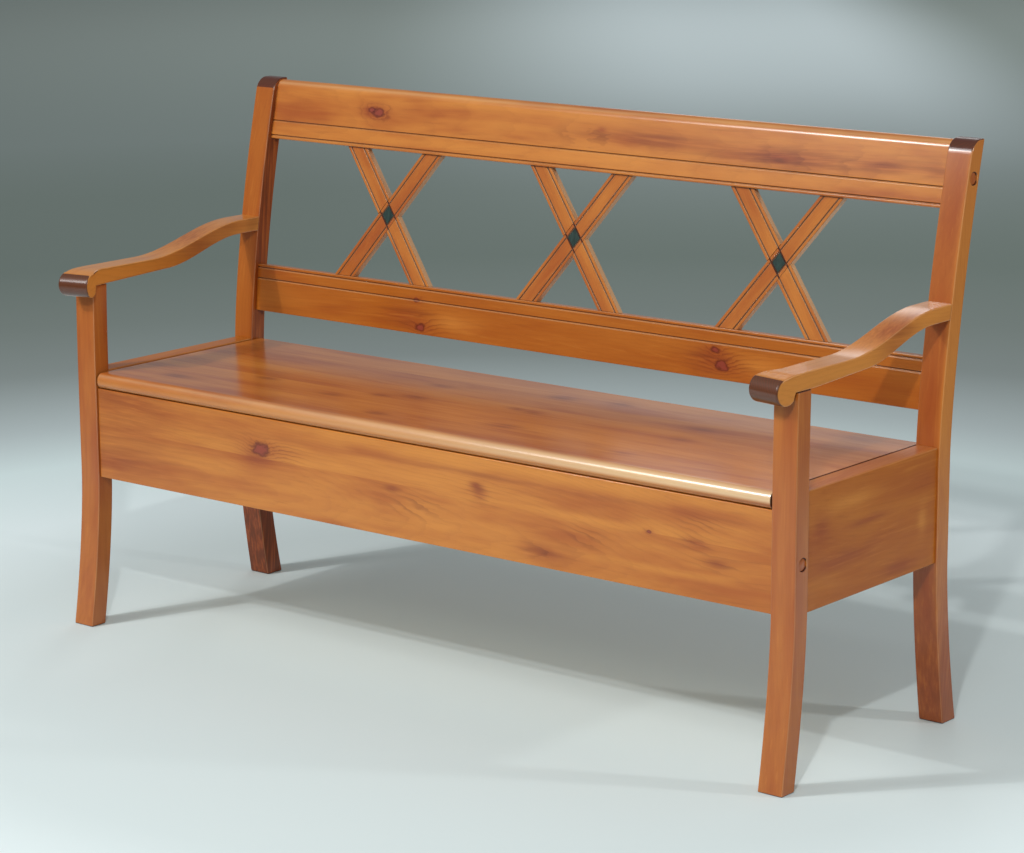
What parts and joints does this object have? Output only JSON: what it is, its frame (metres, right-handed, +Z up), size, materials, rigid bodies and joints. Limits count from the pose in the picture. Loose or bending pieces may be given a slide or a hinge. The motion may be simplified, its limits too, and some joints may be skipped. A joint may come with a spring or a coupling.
{
  "type": "settle bench",
  "caption": "Wooden settle bench with a lift-up seat lid over a storage box, scrolled arms and a back of half-lapped crosses.",
  "frame": {"origin": "on the floor, under the middle of the bench's bounding box", "axes": "+X along the bench towards the right end seen from the front, +Y towards the back, +Z up"},
  "size_m": [1.5, 0.545, 0.917],
  "materials": {
    "stained_pine": "satin stained pine",
    "dark_pine": "satin dark-stained pine",
    "green_inlay": "satin dyed veneer",
    "plywood": "plain plywood",
    "beech": "raw",
    "brass": "satin",
    "zinc_steel": "zinc plated"
  },
  "bodies": {
    "bench": {"left_front_leg": "stained_pine", "left_back_post": "stained_pine", "left_armrest": "dark_pine", "left_side_panel": "stained_pine", "left_side_cleat": "stained_pine", "left_leg_dowel": "beech", "left_arm_dowel": "beech", "left_apron_dowel": "beech", "left_rail_dowel": "beech", "left_front_bolt": "zinc_steel", "left_front_plug": "dark_pine", "left_front_barrel_nut": "zinc_steel", "left_back_bolt": "zinc_steel", "left_back_plug": "dark_pine", "left_back_barrel_nut": "zinc_steel", "right_front_leg": "stained_pine", "right_back_post": "stained_pine", "right_armrest": "dark_pine", "right_side_panel": "stained_pine", "right_side_cleat": "stained_pine", "right_leg_dowel": "beech", "right_arm_dowel": "beech", "right_apron_dowel": "beech", "right_rail_dowel": "beech", "right_front_bolt": "zinc_steel", "right_front_plug": "dark_pine", "right_front_barrel_nut": "zinc_steel", "right_back_bolt": "zinc_steel", "right_back_plug": "dark_pine", "right_back_barrel_nut": "zinc_steel", "front_apron": "stained_pine", "back_apron": "stained_pine", "bottom_panel": "plywood", "front_cleat": "stained_pine", "back_cleat": "stained_pine", "top_rail": "stained_pine", "lower_rail": "stained_pine", "left_cross_rising_slat": "stained_pine", "left_cross_falling_slat": "stained_pine", "left_diamond_inlay": "green_inlay", "middle_cross_rising_slat": "stained_pine", "middle_cross_falling_slat": "stained_pine", "middle_diamond_inlay": "green_inlay", "right_cross_rising_slat": "stained_pine", "right_cross_falling_slat": "stained_pine", "right_diamond_inlay": "green_inlay", "left_hinge_fixed_leaf": "brass", "left_hinge_pin": "zinc_steel", "right_hinge_fixed_leaf": "brass", "right_hinge_pin": "zinc_steel"},
    "lid": {"seat_lid": "stained_pine", "left_hinge_moving_leaf": "brass", "right_hinge_moving_leaf": "brass"}
  },
  "joints": [
    {"name": "lid_hinge", "type": "hinge", "parent": "bench", "child": "lid", "pos_m": [0, 0.186, 0.42175], "axis": [-1, 0, 0], "range_deg": [0, 62]}
  ]
}
